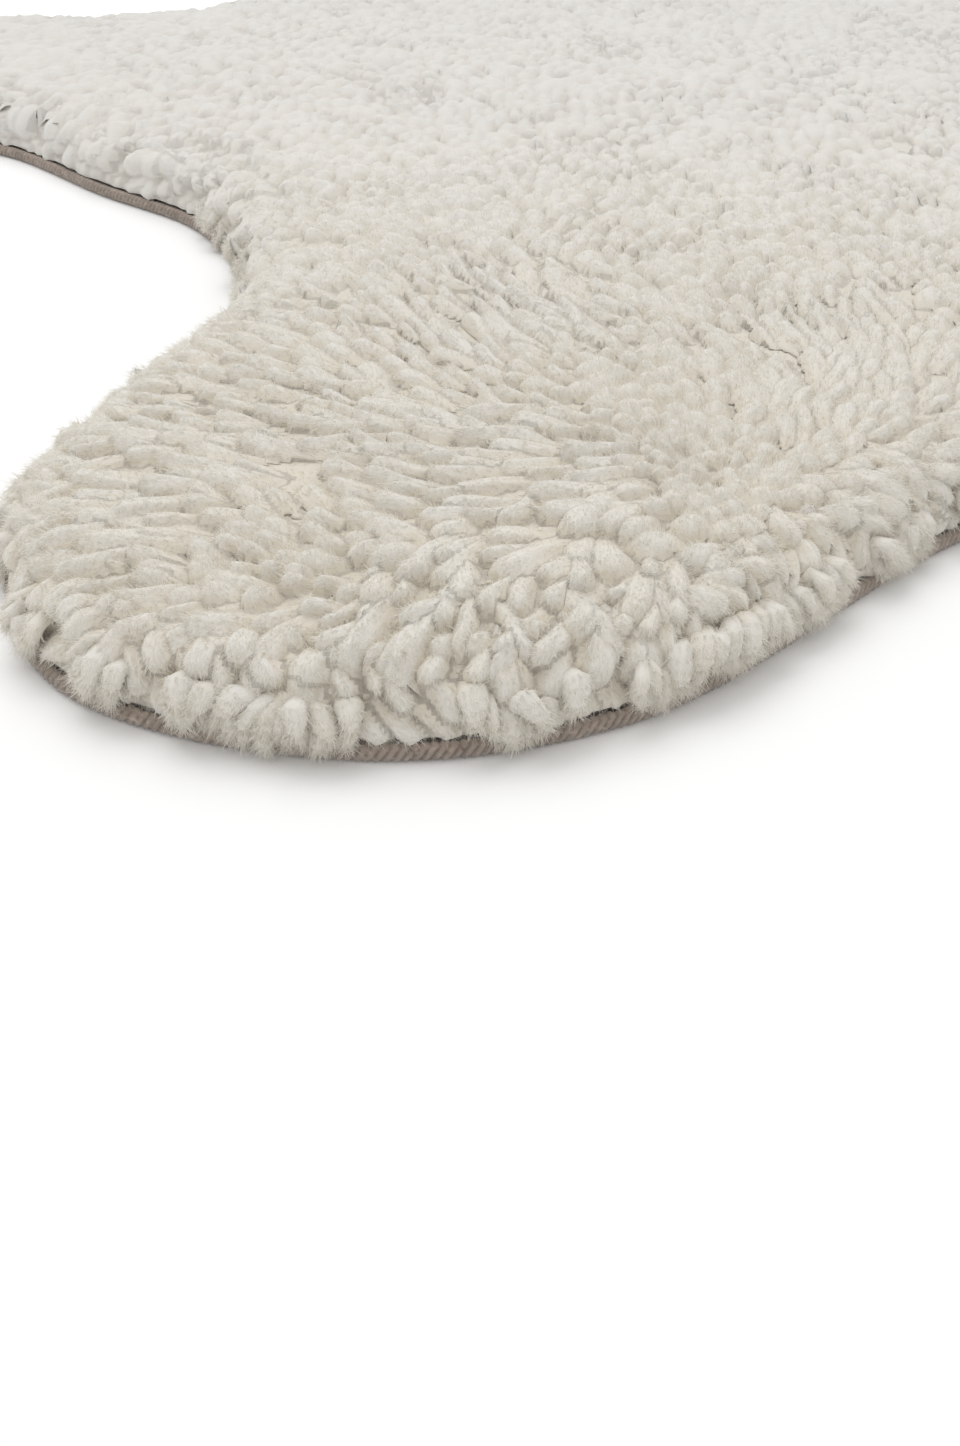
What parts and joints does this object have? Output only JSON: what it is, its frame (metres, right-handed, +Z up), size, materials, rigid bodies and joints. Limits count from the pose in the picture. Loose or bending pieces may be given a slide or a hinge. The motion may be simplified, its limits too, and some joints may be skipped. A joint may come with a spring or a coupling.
{
  "type": "animal-shaped kids rug",
  "caption": "Flat rug in the outline of an animal's hide, with a thick cream wool pile of soft locks over a base cloth with a serged edge.",
  "frame": {"origin": "on the floor, under the middle of the rug's bounding box", "axes": "+X from the head towards the rump, along the rug's length; +Y across it, from the legs that the picture shows towards the far ones; +Z up from the floor through the pile"},
  "size_m": [1.1568, 0.8168, 0.025],
  "materials": {
    "wool_pile": "cream wool in thick, loosely twisted locks, matt and fuzzy",
    "edge_serging": "taupe cotton thread serged over the edge in close ribs, matt",
    "base_cloth": "plain woven cotton backing, undyed, matt"
  },
  "bodies": {
    "root": {"base_cloth": "base_cloth", "edge_serging": "edge_serging", "wool_pile": "wool_pile"}
  },
  "joints": []
}
